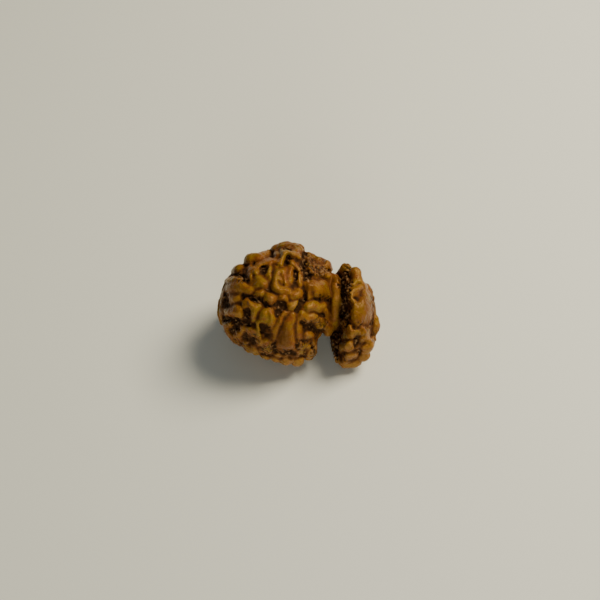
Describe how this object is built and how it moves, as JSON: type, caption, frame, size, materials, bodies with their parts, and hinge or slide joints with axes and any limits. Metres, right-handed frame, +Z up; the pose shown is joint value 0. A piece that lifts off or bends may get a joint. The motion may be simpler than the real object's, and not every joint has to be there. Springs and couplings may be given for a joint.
{
  "type": "rudraksha seed",
  "caption": "Twin rudraksha seed: a large round woody stone grown together with a small half-round one, with worm-like ridges and deep pits.",
  "frame": {"origin": "centre of the seed's box, on the surface it rests on", "axes": "+X along the longest side, from the large stone to the small one; +Z up from the flat resting spots"},
  "size_m": [0.0252, 0.018, 0.0157],
  "materials": {
    "woody_stone": "satin, caramel brown ridges over dark brown pits"
  },
  "bodies": {
    "root": {"rudraksha_seed": "woody_stone"}
  },
  "joints": []
}
